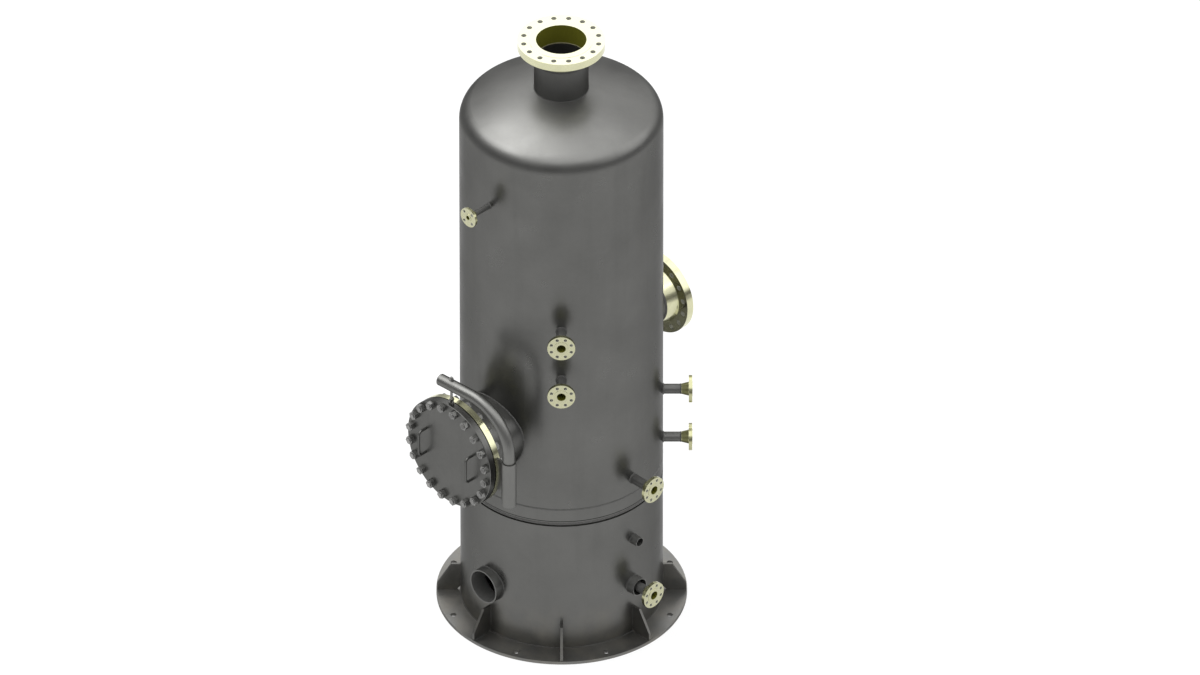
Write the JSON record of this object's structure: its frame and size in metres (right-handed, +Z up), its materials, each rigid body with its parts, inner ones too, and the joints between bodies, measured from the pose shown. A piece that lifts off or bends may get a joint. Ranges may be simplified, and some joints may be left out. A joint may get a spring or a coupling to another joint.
{
  "type": "knockout drum",
  "caption": "Upright vessel that separates liquid from gas: dished heads, skirt, flanged nozzles, bolted manway with a davit, mesh pad inside.",
  "frame": {"origin": "on the vessel's axis at the underside of the base ring", "axes": "+Z up along the vessel's axis, +X towards the level switch nozzles, -Y towards the level gauge nozzles"},
  "size_m": [1.7115, 1.7893, 4.013],
  "materials": {
    "vessel_coat": "satin dark grey coat on carbon steel plate and pipe",
    "flange_coat": "glossy pale yellow coat on forged and machined flanges",
    "fastener": "grey steel studs and nuts",
    "gasket": "dark flat gasket",
    "wire_mesh": "knitted stainless wire",
    "internals": "bare steel inside the vessel"
  },
  "bodies": {
    "root": {"base_ring": "vessel_coat", "bottom_head": "vessel_coat", "cover_eye_bolt": "fastener", "cover_handle_left": "vessel_coat", "cover_handle_right": "vessel_coat", "cover_lug": "vessel_coat", "davit_arm": "vessel_coat", "davit_arm_cap": "vessel_coat", "davit_bracket": "vessel_coat", "davit_socket": "vessel_coat", "drain_drop_pipe": "vessel_coat", "drain_elbow": "vessel_coat", "drain_flange": "flange_coat", "drain_run_pipe": "vessel_coat", "drain_sleeve": "vessel_coat", "eye_bolt_nut": "fastener", "gas_inlet_flange": "flange_coat", "gas_inlet_pipe": "vessel_coat", "gas_outlet_flange": "flange_coat", "gas_outlet_pipe": "vessel_coat", "gusset_0": "vessel_coat", "gusset_1": "vessel_coat", "gusset_2": "vessel_coat", "gusset_3": "vessel_coat", "gusset_4": "vessel_coat", "gusset_5": "vessel_coat", "gusset_6": "vessel_coat", "gusset_7": "vessel_coat", "inlet_deflector": "internals", "level_gauge_lower_flange": "flange_coat", "level_gauge_lower_pipe": "vessel_coat", "level_gauge_upper_flange": "flange_coat", "level_gauge_upper_pipe": "vessel_coat", "level_switch_lower_flange": "flange_coat", "level_switch_lower_pipe": "vessel_coat", "level_switch_upper_flange": "flange_coat", "level_switch_upper_pipe": "vessel_coat", "manway_cover": "vessel_coat", "manway_flange": "flange_coat", "manway_gasket": "gasket", "manway_neck": "vessel_coat", "manway_nuts_back": "fastener", "manway_nuts_front": "fastener", "manway_studs": "fastener", "mesh_pad": "wire_mesh", "pad_grid_lower": "internals", "pad_grid_upper": "internals", "pad_support_ring": "internals", "pressure_tap_flange": "flange_coat", "pressure_tap_pipe": "vessel_coat", "shell": "vessel_coat", "skirt": "vessel_coat", "skirt_access_collar": "vessel_coat", "skirt_vent_front": "vessel_coat", "skirt_vent_rear": "vessel_coat", "top_head": "vessel_coat", "utility_flange": "flange_coat", "utility_pipe": "vessel_coat", "vortex_breaker": "internals"}
  },
  "joints": []
}
